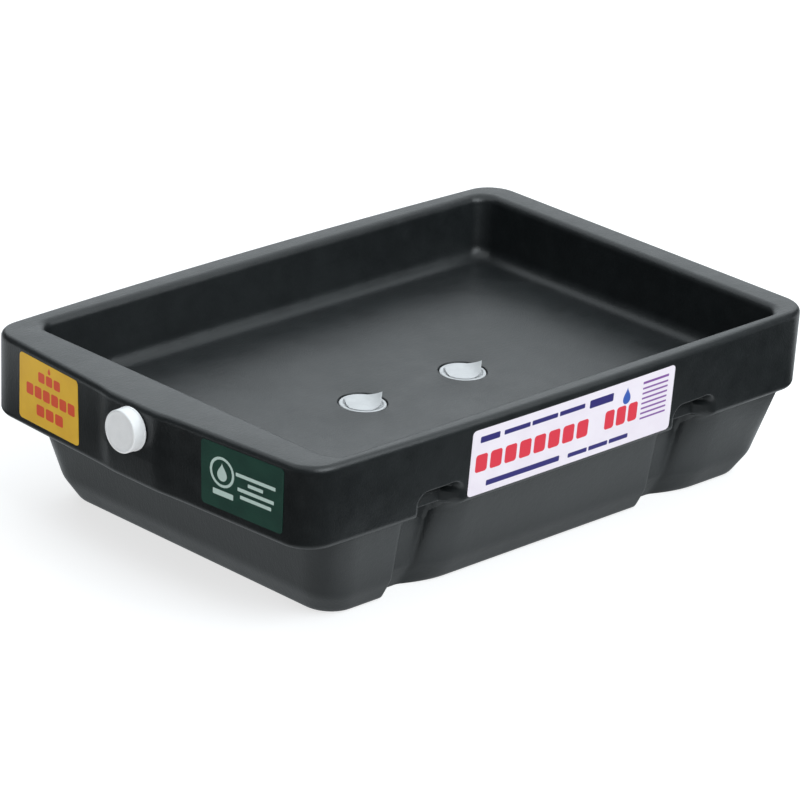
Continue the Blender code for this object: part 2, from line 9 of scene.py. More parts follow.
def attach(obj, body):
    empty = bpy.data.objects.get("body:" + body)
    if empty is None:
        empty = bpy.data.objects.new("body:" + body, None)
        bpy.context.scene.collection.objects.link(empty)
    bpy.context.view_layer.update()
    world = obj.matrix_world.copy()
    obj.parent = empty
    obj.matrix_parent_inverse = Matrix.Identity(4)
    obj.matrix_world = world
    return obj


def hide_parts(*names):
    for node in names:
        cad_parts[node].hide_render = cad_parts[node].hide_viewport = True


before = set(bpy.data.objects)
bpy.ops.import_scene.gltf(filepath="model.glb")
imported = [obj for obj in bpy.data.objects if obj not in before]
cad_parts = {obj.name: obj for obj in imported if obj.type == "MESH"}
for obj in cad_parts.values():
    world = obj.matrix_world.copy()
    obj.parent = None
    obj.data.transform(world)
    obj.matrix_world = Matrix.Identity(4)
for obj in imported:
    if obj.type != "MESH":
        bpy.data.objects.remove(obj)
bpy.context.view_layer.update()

MM = 0.001

# ------------------------------------------------------------------ dimensions (mm)

HALF_LENGTH, HALF_WIDTH = 242.0, 157.5
RIM_Z, BAND_Z = 125.0, 66.5
BAND_CORNER_R, BAND_DRAFT, EDGE_R = 24.0, 1.0, 4.6
SIDE_BOW_TOP, SIDE_BOW_BOTTOM = 4.5, 2.0
END_SLANT_Y, PAD_SHOULDER_Y, PAD_HALF = 136.0, 34.0, 23.0
PAD_OUT, SLANT_OUT, END_LEAN, PAD_FULL_Z = 11.0, 8.8, 0.62, 90.0
# how far the tank stands in from the body: at the spout end, at the other end, at each long side
TANK_TOP = np.array((27.2, 6.6, 6.6))
TANK_KNEE = np.array((41.0, 19.4, 19.3))
TANK_FOOT = np.array((51.3, 29.4, 28.9))
KNEE_Z = 17.0
TRAY = (-216.0, 223.5, -152.75, 147.5)  # x0, x1, y0, y1 at the rim
ROLL_R, TRAY_DRAFT, TRAY_CORNER_R = 6.0, 3.5, 16.0
FLOOR_Z, FLOOR_FILLET, WALL = 79.0, 11.0, 2.8
GROOVE_X, GROOVE_TOP, NOTCH_HALF, NOTCH_CORNER = 122.0, 85.0, 21.0, 9.5
SPOUT_Y, SPOUT_Z, PAD_X = -2.0, 107.8, -253.0
NECK_R, NECK_BORE, NECK_LEN, THREAD_PITCH, THREAD_RISE = 10.6, 8.4, 7.2, 3.0, 1.1
NECK_THREAD_START = 2.6
CAP_R, CAP_BORE, CAP_DEPTH = 15.1, 12.1, 10.6
PLUGS = {"rear": (43.3, -13.7), "front": (-51.6, -12.5)}
HOLE_R, SEAT_R, SEAT_DEPTH, BOSS_R, FLANGE_R, STEM_R = 12.5, 17.0, 2.4, 19.0, 16.3, 12.15
TAB_ANGLE, TAB_PIVOT, TAB_Z = math.radians(-31.0), -11.4, 78.7
TAB_NEAR, TAB_FAR = (8.0, -9.4), (15.3, -2.9)  # corners of the square lip, from the plug's middle
FLAP_R, FLAP_THICK, FLAP_FLAT_TO, FLAP_FLEX = 13.5, 0.8, 2.0, 0.0317


def lerp(a, b, t):
    return a + (b - a) * t


def clamp(v, lo=0.0, hi=1.0):
    return np.minimum(np.maximum(v, lo), hi)


def smooth(t):
    t = clamp(t)
    return t * t * (3.0 - 2.0 * t)


def smin(a, b, k):
    h = clamp((k - np.abs(a - b)) / k)
    return np.minimum(a, b) - h * h * k * 0.25


def smax(a, b, k):
    return -smin(-a, -b, k)


# ------------------------------------------------------------------ mesh helpers


def to_object(name, bm, mat, sharp=None):
    """Object in metres, in the row frame, from a bmesh in millimetres."""
    bmesh.ops.scale(bm, verts=bm.verts, vec=(MM, MM, MM))
    mesh = bpy.data.meshes.new(name)
    bm.to_mesh(mesh)
    bm.free()
    mesh.shade_smooth()
    if sharp:
        mesh.set_sharp_from_angle(angle=math.radians(sharp))
    obj = bpy.data.objects.new(name, mesh)
    bpy.context.scene.collection.objects.link(obj)
    mesh.materials.append(mat)
    return obj


def loop_faces(bm, low, high, flip=False):
    n = len(low)
    for i in range(n):
        j = (i + 1) % n
        quad = (low[i], low[j], high[j], high[i])
        bm.faces.new(quad[::-1] if flip else quad)


def fill_loops(bm, loops):
    """Flat face across an outline, left open inside the other loops."""
    edges = []
    for loop in loops:
        for i, v in enumerate(loop):
            w = loop[(i + 1) % len(loop)]
            edges.append(bm.edges.get((v, w)) or bm.edges.new((v, w)))
    bmesh.ops.triangle_fill(bm, use_beauty=True, use_dissolve=False, edges=edges)


def circle(bm, x, y, z, r, n):
    angles = [2 * math.pi * i / n for i in range(n)]
    return [bm.verts.new((x + r * math.cos(a), y + r * math.sin(a), z)) for a in angles]


def quarter(n):
    """(Sine, cosine) at n even steps through a right angle."""
    angles = [math.radians(90.0 * k / n) for k in range(n + 1)]
    return [(math.sin(a), math.cos(a)) for a in angles]


def turned(profile, steps):
    """Turn (radius, height) points round Z. An end at radius 0 closes to a point."""
    bm = bmesh.new()
    rows = []
    for r, h in profile:
        if r < 1e-6:
            rows.append([bm.verts.new((0.0, 0.0, h))])
        else:
            rows.append(circle(bm, 0.0, 0.0, h, r, steps))
    for low, high in zip(rows, rows[1:]):
        for i in range(steps):
            j = (i + 1) % steps
            if len(low) == 1:
                bm.faces.new((low[0], high[j], high[i]))
            elif len(high) == 1:
                bm.faces.new((low[i], low[j], high[0]))
            else:
                bm.faces.new((low[i], low[j], high[j], high[i]))
    bmesh.ops.recalc_face_normals(bm, faces=bm.faces)
    return bm


def arc(cr, ch, radius, a0, a1, n):
    """Points of a profile arc round (cr, ch), from angle a0 to a1 in degrees."""
    out = []
    for i in range(n + 1):
        a = math.radians(lerp(a0, a1, i / n))
        out.append((cr + radius * math.cos(a), ch + radius * math.sin(a)))
    return out


def helix(bm, base_r, crest_r, start, turns, phase, steps=48):
    """Thread ridge round Z that runs out to nothing at both ends."""
    count = int(turns * steps)
    rise = crest_r - base_r
    sink = base_r - math.copysign(0.4, rise)
    foot, flank, tip = 0.8, 0.42, 0.24  # half widths of the ridge
    loops = []
    for i in range(count + 1):
        a = 2.0 * math.pi * i / steps
        fade = min(1.0, min(i, count - i) / 8.0 + 0.05)
        h = start + THREAD_PITCH * i / steps
        crest = base_r + rise * fade
        near = base_r + rise * fade * 0.85
        section = ((sink, h - foot), (near, h - flank), (crest, h - tip),
                   (crest, h + tip), (near, h + flank), (sink, h + foot))
        cos_a, sin_a = math.cos(a + phase), math.sin(a + phase)
        loops.append([bm.verts.new((r * cos_a, r * sin_a, height)) for r, height in section])
    for low, high in zip(loops, loops[1:]):
        loop_faces(bm, low, high)
    bm.faces.new(loops[0][::-1])
    bm.faces.new(loops[-1])


def on_spout(bm, face_x=PAD_X):
    """Stand a shape turned round +Z on the spout axis, its height along -X."""
    turn = Matrix.Rotation(math.radians(-90.0), 4, "Y")
    place = Matrix.Translation((face_x, SPOUT_Y, SPOUT_Z)) @ turn
    bmesh.ops.transform(bm, matrix=place, verts=bm.verts)
    bmesh.ops.recalc_face_normals(bm, faces=bm.faces)
    return bm


# ------------------------------------------------------------------ pan body

# points of an outline: in each corner, on a long side outside and between the grooves, on an end
ARC_N, LONG_OUT, LONG_MID, END_N = 10, 7, 18, 22
GROOVE_MARGIN, GROOVE_MARGIN_MID = 37.5, 38.0
PAD_ROWS = [0, 3, 6, 9, 12, 15, 18, 20.5, 22, 23, 24, 25.5, 27.5, 29.5, 31.5, 33, 34, 35, 36.5, 39,
            43, 48, 56, 66, 78, 90, 102, 114, 124, 131]
END_ROWS = PAD_ROWS[::-1] + [-v for v in PAD_ROWS[1:]]
# rectangle in the pad that is opened for the neck
WINDOW_Y = (15, -18)
WINDOW_ROWS = [93.0, 95.5, 98.0, 101.0, 104.0, 107.0, 110.0, 113.0, 116.0, 118.5, 119.7]
# the grooves are carved up to a height, in the rows that run up the outside
CARVED_OUT, CARVED_IN = (89.0, 75), (90.0, 12)


def groove_columns():
    """X offsets from a groove's middle, close together where the surface turns."""
    half = list(np.arange(0.0, 9.0, 1.0)) + list(np.arange(9.0, 28.5, 0.75)) + [30.0, 32.0, 34.5]
    return [-v for v in half[:0:-1]] + half


def long_stations(xa, xb):
    g = groove_columns()
    left = list(np.linspace(xa, -GROOVE_X - GROOVE_MARGIN, LONG_OUT))[1:]
    first = [-GROOVE_X + v for v in g]
    mid = list(np.linspace(-GROOVE_X + GROOVE_MARGIN_MID, GROOVE_X - GROOVE_MARGIN_MID, LONG_MID))
    second = [GROOVE_X + v for v in g]
    right = list(np.linspace(GROOVE_X + GROOVE_MARGIN, xb, LONG_OUT))[:-1]
    return np.array(left + first + mid + second + right)


def outline(z, x0, x1, y0, y1, radius, bow=0.0, push=None):
    """Plan outline at one height, anticlockwise from the spout end of the near side.

    Returns an array of points and, for each, the long side it lies on (-1 near, 1 far, 0 none).
    """
    pts, side = [], []
    xa, xb = x0 + radius, x1 - radius
    half, mid = (xb - xa) / 2.0, (xa + xb) / 2.0

    def straight(y, sign, reverse):
        xs = long_stations(xa, xb)
        if reverse:
            xs = xs[::-1]
        for x in xs:
            pts.append((x, y + sign * bow * (1.0 - ((x - mid) / half) ** 2), z))
            side.append(sign)

    def corner(cx, cy, start):
        for k in range(ARC_N + 1):
            a = math.radians(start + 90.0 * k / ARC_N)
            pts.append((cx + radius * math.cos(a), cy + radius * math.sin(a), z))
            side.append(0)

    straight(y0, -1, False)
    corner(x1 - radius, y0 + radius, 270.0)
    for y in np.linspace(y0 + radius, y1 - radius, END_N)[1:-1]:
        pts.append((x1, y, z))
        side.append(0)
    corner(x1 - radius, y1 - radius, 0.0)
    straight(y1, 1, True)
    corner(x0 + radius, y1 - radius, 90.0)
    for row in END_ROWS:
        y = row
        if abs(row) > PAD_SHOULDER_Y:
            reach = (y1 if row > 0 else -y0) - radius
            t = (abs(row) - PAD_SHOULDER_Y) / (END_SLANT_Y - PAD_SHOULDER_Y)
            y = math.copysign(lerp(PAD_SHOULDER_Y, reach, t), row)
        pts.append((x0 - (push(row, z) if push else 0.0), y, z))
        side.append(0)
    corner(x0 + radius, y0 + radius, 180.0)
    return np.array(pts), np.array(side)


def band_t(z):
    return min(max((z - BAND_Z) / (RIM_Z - BAND_Z), 0.0), 1.0)


def band_draft(z):
    return BAND_DRAFT * (1.0 - band_t(z))


def side_bow(z):
    return lerp(SIDE_BOW_BOTTOM, SIDE_BOW_TOP, band_t(z))


def end_push(y, z):
    """How far the spout end stands out: a slant to the shoulders and a flat pad in the middle."""
    slant_only, shoulder_only, soft = 40.0, 28.0, 0.9
    slant = SLANT_OUT * lerp(END_LEAN, 1.0, band_t(z))
    pad = PAD_OUT * lerp(END_LEAN, 1.0, min(max((z - BAND_Z) / (PAD_FULL_Z - BAND_Z), 0.0), 1.0))
    a = abs(y)
    out = slant * min(max((END_SLANT_Y - a) / (END_SLANT_Y - PAD_SHOULDER_Y), 0.0), 1.0)
    if a >= slant_only:
        return float(out)
    rise = lerp(pad, slant, (a - PAD_HALF) / (PAD_SHOULDER_Y - PAD_HALF))
    if a > shoulder_only:
        rise = smax(out, rise, soft)
    return float(smin(rise, pad, soft))


def band_ring(z, inset):
    d = inset + band_draft(z)
    return outline(z, -HALF_LENGTH + d, HALF_LENGTH - d, -HALF_WIDTH + d, HALF_WIDTH - d,
                   max(BAND_CORNER_R - inset, 4.0), side_bow(z), end_push)


def tank_ring(z, insets, radius, inset=0.0):
    xm, xp, y = insets
    return outline(z, -HALF_LENGTH + xm + inset, HALF_LENGTH - xp - inset,
                   -HALF_WIDTH + y + inset, HALF_WIDTH - y - inset, max(radius - inset, 4.0))


def tray_ring(z, inset, radius):
    x0, x1, y0, y1 = TRAY
    return outline(z, x0 + inset, x1 - inset, y0 + inset, y1 - inset, radius)


def tank_insets(z):
    if z < KNEE_Z:
        return lerp(TANK_FOOT, TANK_KNEE, z / KNEE_Z)
    return lerp(TANK_KNEE, TANK_TOP, (z - KNEE_Z) / (BAND_Z - KNEE_Z))


def curve3(a, b, c, n):
    """Points of a quadratic curve from a to c, pulled towards b."""
    out = []
    for k in range(n + 1):
        t = k / n
        out.append(((1 - t) ** 2) * a + 2 * t * (1 - t) * b + t * t * c)
    return out


def tank_r(z):
    return float(np.interp(z, (0.0, 2.2, 14.0, 21.0, 65.0), (19.0, 21.5, 23.0, 24.5, 26.0)))


def groove_reach(x, z):
    """Distance from the mid-plane that the grooved side keeps at this place."""
    sx = (np.abs(x) - GROOVE_X) * np.sign(x)
    dx = np.abs(sx)
    # channel up the tank: a flat back, a slanted flank on one hand and a rolled one on the other
    knots = (-1.0, KNEE_Z, BAND_Z)
    depth = np.interp(z, (-1.0, KNEE_Z, 45.0, BAND_Z), (117.4, 126.5, 131.5, 134.0))
    back = np.interp(z, knots, (11.0, 13.0, 8.5))
    mouth = np.interp(z, knots, (19.5, 20.5, 26.0))
    wall = np.interp(z, (0.0, KNEE_Z, BAND_Z), [HALF_WIDTH - t[2] for t in (TANK_FOOT, TANK_KNEE, TANK_TOP)])
    flank = depth + (dx - back) * (wall - depth) / (mouth - back)
    start = np.interp(z, knots, (5.0, 8.5, 12.0))
    steep = np.interp(z, (8.0, 26.0, BAND_Z), (0.0, 0.34, 0.62)) * (wall - depth)
    run = np.maximum(sx - start, 0.0)
    rolled_mouth, roll_length = 26.0, 2.2
    slanted = (sx - start) * (wall - depth - steep) / (rolled_mouth - start)
    rolled = depth + steep * (1.0 - np.exp(-run / roll_length)) + slanted
    channel = smax(depth, np.where(sx > 0, rolled, flank), 1.6)
    # notch in the band: arched opening with a leaning back
    ux = np.maximum(dx - (NOTCH_HALF - NOTCH_CORNER), 0.0)
    uz = np.maximum(z - (GROOVE_TOP - NOTCH_CORNER), 0.0)
    inside = NOTCH_CORNER - np.sqrt(ux * ux + uz * uz)
    slope = lerp(1.5, 5.0, smooth(uz / (np.hypot(ux, uz) + 1e-6)))
    lean = np.interp(z, (BAND_Z, 74.5, 79.0, 82.0, GROOVE_TOP), (134.2, 135.4, 142.0, 146.5, 149.0))
    notch = smax(lean, 160.0 - slope * inside, 2.0)
    blend = smooth((z - BAND_Z + 1.5) / 3.0)
    return lerp(channel, notch, blend)


def carve(points, side, level, grow=0.0):
    """Push the long sides in where the grooves run."""
    pts = points.copy()
    on = side != 0
    x, y = pts[on, 0], np.abs(pts[on, 1])
    z = level if level is not None else pts[on, 2]
    sx = (np.abs(x) - GROOVE_X) * np.sign(x)
    near = np.abs(sx) < 60.0
    reach = groove_reach(x, z) - grow
    right = smooth(sx / 12.0)
    tank = smooth((BAND_Z + 2.0 - z) / 8.0)
    edge = lerp(lerp(4.2, 3.0, tank), lerp(6.5, 8.0, tank), right)
    new = np.where(near, smin(y, reach, edge), y)
    weight = smooth((y - new) / 3.0)
    pts[on, 1] = np.sign(pts[on, 1]) * new
    if level is not None:
        pts[on, 2] = lerp(pts[on, 2], level, weight)
    return pts


def tank_bend(a, corner, c, n):
    """Outlines of the tank round a bend. Its ends and its corner are each (insets, height)."""
    points = curve3(*(np.array((*insets, z)) for insets, z in (a, corner, c)), n)
    return [tank_ring(float(p[3]), p[:3], tank_r(p[3])) for p in points]


def tank_wall(heights):
    return [tank_ring(z, tank_insets(z), tank_r(z)) for z in heights]


def outer_rows():
    """Outlines of the outer skin, from the underside up the outside and down into the tray."""
    foot, ledge = TANK_FOOT, TANK_TOP - 0.7
    rows = [tank_ring(0.0, foot + 9.0, 14.0), tank_ring(0.0, foot + 4.0, 18.0)]
    rows += tank_bend((foot + 3.0, 0.0), (foot, 0.0), (tank_insets(3.6), 3.6), 6)
    rows += tank_wall((4.4, 6.5, 9.0, 11.0, 12.2))
    rows += tank_bend((tank_insets(13.0), 13.0), (TANK_KNEE, KNEE_Z), (tank_insets(21.0), 21.0), 6)
    rows += tank_wall((22.0, 25.0, 28.5, 32.0, 35.5, 39.0, 42.5, 46.0, 49.5, 52.5, 55.0, 57.5, 59.5, 61.5, 63.0,
                       64.2))
    rows += tank_bend((tank_insets(65.0), 65.0), (TANK_TOP, BAND_Z), (ledge, BAND_Z), 4)
    for sin_a, cos_a in quarter(7):
        rows.append(band_ring(BAND_Z + EDGE_R * (1.0 - cos_a), EDGE_R * (1.0 - sin_a)))
    heights = [71.9, 73.0, 74.2, 75.4, 76.4] + list(np.arange(77.2, 88.4, 0.5)) + [89.2, 90.5] + WINDOW_ROWS
    rows += [band_ring(float(z), 0.0) for z in heights]
    for sin_a, cos_a in quarter(7):
        rows.append(band_ring(RIM_Z - EDGE_R * (1.0 - sin_a), EDGE_R * (1.0 - cos_a)))
    for sin_a, cos_a in quarter(8):
        rows.append(tray_ring(RIM_Z - ROLL_R * (1.0 - cos_a), ROLL_R * sin_a, TRAY_CORNER_R - 3.0 * sin_a))
    for z, t in ((118.0, 0.04), (112.0, 0.25), (104.0, 0.52), (96.0, 0.8), (91.0, 0.97)):
        rows.append(tray_ring(z, ROLL_R + TRAY_DRAFT * t, 13.0 - t))
    base = ROLL_R + TRAY_DRAFT
    for sin_a, cos_a in quarter(9):
        z = FLOOR_Z + FLOOR_FILLET * (1.0 - sin_a)
        rows.append(tray_ring(z, base + FLOOR_FILLET * (1.0 - cos_a), 12.0))
    rows.append(tray_ring(FLOOR_Z, base + FLOOR_FILLET + 1.5, 11.0))
    return rows


def inner_rows():
    """Outlines of the inner skin, in the same order."""
    rows = [
        tank_ring(WALL, TANK_FOOT, 20.0, WALL + 2.0),
        tank_ring(WALL + 2.0, tank_insets(4.0), 22.0, WALL),
        tank_ring(KNEE_Z, TANK_KNEE, 24.0, WALL),
        tank_ring(40.0, tank_insets(40.0), 25.0, WALL),
        tank_ring(BAND_Z, TANK_TOP, 26.0, WALL),
        tank_ring(BAND_Z + WALL, TANK_TOP, 26.0, WALL),
        band_ring(BAND_Z + WALL, 4.4),
        band_ring(BAND_Z + 5.4, WALL),
    ]
    rows += [band_ring(z, WALL) for z in [81.0, 87.0, 90.0] + WINDOW_ROWS]
    rows += [
        band_ring(RIM_Z - WALL, 4.8),
        tray_ring(RIM_Z - WALL, -0.5, TRAY_CORNER_R + 1.0),
        tray_ring(RIM_Z - 6.0, ROLL_R - WALL, TRAY_CORNER_R),
        tray_ring(FLOOR_Z + FLOOR_FILLET, ROLL_R + TRAY_DRAFT - WALL, 14.0),
        tray_ring(FLOOR_Z + 0.4, ROLL_R + TRAY_DRAFT - WALL + 4.2, 14.0),
        tray_ring(FLOOR_Z - WALL, ROLL_R + TRAY_DRAFT - WALL + 11.6, 14.0),
    ]
    return rows


def even_levels(rows, lo, hi):
    """Heights for the rows that run under the band, spread evenly so that none fall together."""
    z = [float(r[0][0, 2]) for r in rows]
    first = next(i for i, v in enumerate(z) if v >= lo)
    last = next(i for i, v in enumerate(z) if v >= hi)
    levels = list(z)
    for i in range(first, last + 1):
        levels[i] = lerp(z[first], z[last], (i - first) / (last - first))
    return levels


def spout_window(rows):
    """First and last row of the rectangle in the pad that is opened for the neck."""
    ends = (WINDOW_ROWS[0], WINDOW_ROWS[-1])
    return [next(i for i, r in enumerate(rows) if abs(r[0][0, 2] - z) < 0.01) for z in ends]


def skin(bm, rows, carved, flip):
    """Grid of vertices through the rows with the spout's round opening. Returns rows and that loop."""
    verts = [[bm.verts.new(p) for p in pts] for pts in carved]
    n = len(verts[0])
    # the spout end's columns come last, before one corner
    end0 = n - (ARC_N + 1) - len(END_ROWS)
    c0, c1 = (end0 + END_ROWS.index(y) for y in WINDOW_Y)
    r0, r1 = spout_window(rows)
    for i in range(len(verts) - 1):
        for k in range(n):
            if r0 <= i < r1 and c0 <= k < c1:
                continue
            j = (k + 1) % n
            quad = (verts[i][k], verts[i][j], verts[i + 1][j], verts[i + 1][k])
            bm.faces.new(quad[::-1] if flip else quad)
    rim = [verts[r0][c] for c in range(c0, c1)] + [verts[r][c1] for r in range(r0, r1)]
    rim += [verts[r1][c] for c in range(c1, c0, -1)] + [verts[r][c0] for r in range(r1, r0, -1)]
    for i in range(r0 + 1, r1):
        for c in range(c0 + 1, c1):
            bm.verts.remove(verts[i][c])
    return verts, rim


def spout_ring(bm, rim, radius, x):
    """Circle on the spout axis with one point facing each point of the opening's rim."""
    out = []
    for v in rim:
        a = math.atan2(v.co.z - SPOUT_Z, v.co.y - SPOUT_Y)
        out.append(bm.verts.new((x, SPOUT_Y + radius * math.cos(a), SPOUT_Z + radius * math.sin(a))))
    return out


def grooved(rows, limits, levels=None, grow=0.0):
    """Points of the rows, with the grooves carved below a height and only in the first rows."""
    top, count = limits
    out = []
    for i, (pts, side) in enumerate(rows):
        if i < count and float(pts[0, 2]) < top:
            pts = carve(pts, side, levels[i] if levels else None, grow)
        out.append(pts)
    return out


def make_pan(mat):
    """Hollow body: outer skin, spout neck with its thread, inner skin, and the floor's plug seats."""
    bm = bmesh.new()
    rows = outer_rows()
    outer, rim = skin(bm, rows, grooved(rows, CARVED_OUT, even_levels(rows, 60.0, 75.0)), False)
    # neck: foot fillet, wall, lip and bore
    x, end = PAD_X, PAD_X - NECK_LEN
    neck = [(11.6, x + 0.05), (11.0, x - 0.15), (10.7, x - 0.5), (NECK_R, x - 1.0), (NECK_R, end + 1.4),
            (NECK_R - 0.15, end + 1.1), (NECK_R - 0.6, end + 0.9), (NECK_BORE + 0.5, end + 0.9),
            (NECK_BORE + 0.1, end + 1.1), (NECK_BORE, end + 1.5), (NECK_BORE, x + 2.0),
            (NECK_BORE + 0.6, x + WALL)]
    loop = rim
    for r, px in neck:
        ring = spout_ring(bm, rim, r, px)
        loop_faces(bm, loop, ring)
        loop = ring
    # inside
    inside = inner_rows()
    inner, inner_rim = skin(bm, inside, grooved(inside, CARVED_IN, grow=WALL), True)
    last = spout_ring(bm, inner_rim, NECK_BORE + 0.6, x + WALL + 0.02)
    loop_faces(bm, inner_rim, last, True)
    # floor and its plug seats, and the ceiling of the tank
    floor_holes, ceiling_holes = [], []
    deep, under = FLOOR_Z - SEAT_DEPTH, FLOOR_Z - SEAT_DEPTH - 2.0
    seat = [(SEAT_R + 0.9, FLOOR_Z), (SEAT_R + 0.5, FLOOR_Z - 0.1), (SEAT_R + 0.2, FLOOR_Z - 0.35),
            (SEAT_R + 0.1, FLOOR_Z - 0.75), (SEAT_R, deep + 0.5), (SEAT_R - 0.15, deep + 0.15),
            (SEAT_R - 0.6, deep), (HOLE_R + 1.0, deep), (HOLE_R + 0.3, deep - 0.15), (HOLE_R, deep - 0.6),
            (HOLE_R, under), (BOSS_R - 0.8, under), (BOSS_R, deep - 1.2), (BOSS_R, FLOOR_Z - WALL)]
    for px, py in PLUGS.values():
        rings = [circle(bm, px, py, z, r, 72) for r, z in seat]
        for a, b in zip(rings, rings[1:]):
            loop_faces(bm, a, b)
        floor_holes.append(rings[0])
        ceiling_holes.append(rings[-1])
    fill_loops(bm, [outer[-1]] + floor_holes)
    fill_loops(bm, [inner[-1]] + ceiling_holes)
    fill_loops(bm, [outer[0]])
    fill_loops(bm, [inner[0]])
    bmesh.ops.recalc_face_normals(bm, faces=bm.faces)
    ridge = bmesh.new()
    helix(ridge, NECK_R, NECK_R + THREAD_RISE, NECK_THREAD_START, 1.4, 0.0)
    on_spout(ridge, PAD_X + 0.9)
    mesh = bpy.data.meshes.new("ridge")
    ridge.to_mesh(mesh)
    ridge.free()
    bm.from_mesh(mesh)
    bpy.data.meshes.remove(mesh)
    return to_object("pan_shell", bm, mat)


# ------------------------------------------------------------------ small pieces


def make_cap(mat):
    """Screw cap: smooth skirt, fine rim at its foot, rounded edge, slightly dished face, thread inside."""
    top = CAP_DEPTH
    outer = [(CAP_BORE + 0.35, 0.55), (CAP_BORE + 0.7, 0.5)]
    outer += arc(CAP_R - 0.45, 0.95, 0.45, -90, 0, 4)
    outer += [(CAP_R, 1.7), (CAP_R - 0.06, 1.95), (CAP_R - 0.3, 2.1), (CAP_R - 0.32, 2.6),
              (CAP_R - 0.42, top - 3.4)]
    outer += arc(CAP_R - 1.5, top - 1.05, 1.05, 0, 80, 7)
    outer += [(CAP_R - 1.75, top + 0.02), (CAP_R - 2.05, top), (CAP_R - 2.25, top - 0.16),
              (CAP_R - 2.5, top - 0.3), (CAP_R - 4.0, top - 0.3), (CAP_R - 8.0, top - 0.26), (1.1, top - 0.22),
              (0.9, top - 0.28), (0.0, top - 0.3)]
    inner = [(0.0, top - 2.6), (CAP_BORE - 0.8, top - 2.6), (CAP_BORE - 0.2, top - 2.8),
             (CAP_BORE, top - 3.3), (CAP_BORE, 1.2), (CAP_BORE + 0.12, 0.8)]
    bm = turned(inner + outer, 128)
    # turned so that its thread runs half a pitch from the neck's
    start = 2.3
    phase = 2.0 * math.pi * (start - NECK_THREAD_START - 0.5 * THREAD_PITCH) / THREAD_PITCH
    helix(bm, CAP_BORE, CAP_BORE - THREAD_RISE, start, 1.1, phase)
    return to_object("screw_cap", on_spout(bm), mat, 60)


def make_plug(name, x, y, mat):
    """Push-in plug: shallow dish, beaded rim, hollow stem with a snap ring, two moulding marks."""
    f, low = FLOOR_Z, FLOOR_Z - SEAT_DEPTH + 0.3
    profile = [(0.0, f - 2.2), (9.6, f - 2.2), (10.2, f - 2.5), (10.3, f - 3.0), (10.3, f - 8.1)]
    profile += arc(11.0, f - 8.0, 0.6, 200, 340, 5)
    profile += [(STEM_R - 0.35, f - 7.2), (STEM_R - 0.02, f - 6.6), (STEM_R, f - 6.0), (STEM_R - 0.3, f - 5.4),
                (STEM_R - 0.35, f - 4.8), (STEM_R - 0.3, low - 0.4), (STEM_R, low - 0.1), (STEM_R + 0.4, low),
                (15.8, low)]
    profile += arc(FLANGE_R - 0.35, low + 0.35, 0.35, -85, 0, 4)
    profile += arc(FLANGE_R - 0.75, f - 1.2, 0.75, 0, 90, 8)
    profile += [(15.0, f - 0.46), (14.4, f - 0.52), (14.05, f - 0.66), (13.85, f - 0.9), (13.7, f - 1.12),
                (13.4, f - 1.2), (0.0, f - 1.2)]
    bm = turned(profile, 96)
    # a small raised ring on each side of the dish
    steps, around, mark_r, width, height = 24, 8, 1.15, 0.3, 0.38
    for sign in (-1.0, 1.0):
        cx, cy = sign * 13.0 * 0.699, -sign * 13.0 * 0.715
        rows = []
        for k in range(steps):
            a = 2 * math.pi * k / steps
            row = []
            for q in range(around):
                b = 2 * math.pi * q / around
                r = mark_r + width * math.cos(b)
                h = f - 1.15 + height * math.sin(b)
                row.append(bm.verts.new((cx + r * math.cos(a), cy + r * math.sin(a), h)))
            rows.append(row)
        for one, other in zip(rows, rows[1:] + rows[:1]):
            loop_faces(bm, one, other)
    bmesh.ops.recalc_face_normals(bm, faces=bm.faces)
    bmesh.ops.translate(bm, verts=bm.verts, vec=(x, y, 0.0))
    return to_object(name, bm, mat, 60)


def flap_radius(theta):
    """Outline of the lift flap round its plug's middle: a disc with a square lip at one side."""
    d = (math.cos(theta), math.sin(theta))
    near, far = math.atan2(TAB_NEAR[1], TAB_NEAR[0]), math.atan2(TAB_FAR[1], TAB_FAR[0])
    touch = far + math.acos(FLAP_R / math.hypot(*TAB_FAR))
    fillet, roll_gap = 0.5, 0.1

    def meet(p, q):
        ex, ey = q[0] - p[0], q[1] - p[1]
        return (p[0] * ey - p[1] * ex) / (d[0] * ey - d[1] * ex)

    r = FLAP_R
    if near <= theta <= far:
        r = meet(TAB_NEAR, TAB_FAR)
    elif far < theta <= touch:
        r = meet(TAB_FAR, (FLAP_R * math.cos(touch), FLAP_R * math.sin(touch)))
    elif near - fillet < theta < near:
        r = lerp(FLAP_R, math.hypot(*TAB_NEAR), ((theta - near + fillet) / fillet) ** 2)
    # cut straight along the hinge
    c = math.cos(theta - TAB_ANGLE - math.pi)
    return min(r, (-TAB_PIVOT - roll_gap) / c) if c > 0.3 else r


def flap_lift(x, y):
    """Height of the flap's underside over the tray floor: it flexes up towards the square lip."""
    s = x * math.cos(TAB_ANGLE) + y * math.sin(TAB_ANGLE)
    return -FLAP_THICK + FLAP_FLEX * max(s - FLAP_FLAT_TO, 0.0) ** 2


